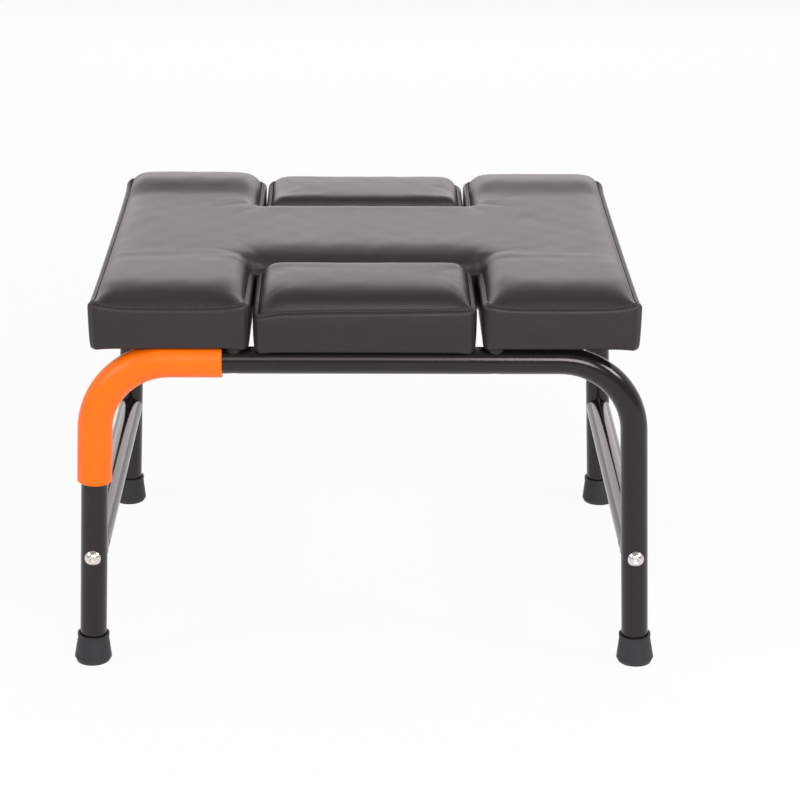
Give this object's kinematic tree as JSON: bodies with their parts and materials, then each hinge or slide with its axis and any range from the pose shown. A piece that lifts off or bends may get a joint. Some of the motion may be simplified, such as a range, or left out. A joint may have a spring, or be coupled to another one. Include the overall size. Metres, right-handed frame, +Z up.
{
  "type": "yoga headstand stool",
  "caption": "Low tubular stool with an H-shaped padded seat whose neck notches are closed by lift-out filler pads, for headstands and sitting.",
  "frame": {"origin": "on the floor, under the middle of the stool", "axes": "+X to the right seen from the front, along the stool's width; +Y to the back; +Z up"},
  "size_m": [0.5496, 0.43, 0.3714],
  "materials": {
    "frame_paint": "gloss black",
    "foot_rubber": "matt black",
    "bolt_nickel": "bright nickel",
    "zinc_steel": "zinc plated",
    "ledge_steel": "satin black",
    "sleeve_orange": "satin orange",
    "seat_leather": "fine-grained synthetic leather, dark grey",
    "seat_foam": "cut polyurethane foam",
    "plywood": "raw plywood",
    "underside_cloth": "black non-woven cloth",
    "spacer_plastic": "matt black"
  },
  "bodies": {
    "stool": {"front_leg_frame": "frame_paint", "rear_leg_frame": "frame_paint", "left_stretcher": "frame_paint", "right_stretcher": "frame_paint", "left_stretcher_inserts": "zinc_steel", "right_stretcher_inserts": "zinc_steel", "front_frame_bolts": "bolt_nickel", "rear_frame_bolts": "bolt_nickel", "front_left_foot": "foot_rubber", "front_right_foot": "foot_rubber", "rear_left_foot": "foot_rubber", "rear_right_foot": "foot_rubber", "foot_washers": "zinc_steel", "grip_sleeve": "sleeve_orange", "seat_board": "plywood", "seat_foam": "seat_foam", "seat_cover": "seat_leather", "seat_cloth": "underside_cloth", "saddle_spacers": "spacer_plastic", "seat_bolts": "zinc_steel", "tee_nuts": "zinc_steel", "front_ledge": "ledge_steel", "rear_ledge": "ledge_steel", "front_ledge_screws": "zinc_steel", "rear_ledge_screws": "zinc_steel"},
    "front_filler": {"front_filler_board": "plywood", "front_filler_foam": "seat_foam", "front_filler_cover": "seat_leather", "front_filler_cloth": "underside_cloth", "front_filler_pegs": "spacer_plastic"},
    "rear_filler": {"rear_filler_board": "plywood", "rear_filler_foam": "seat_foam", "rear_filler_cover": "seat_leather", "rear_filler_cloth": "underside_cloth", "rear_filler_pegs": "spacer_plastic"}
  },
  "joints": [
    {"name": "front_filler_lift", "type": "slide", "parent": "stool", "child": "front_filler", "axis": [0, 0, 1], "range_m": [0, 0.1]},
    {"name": "rear_filler_lift", "type": "slide", "parent": "stool", "child": "rear_filler", "axis": [0, 0, 1], "range_m": [0, 0.1]}
  ]
}
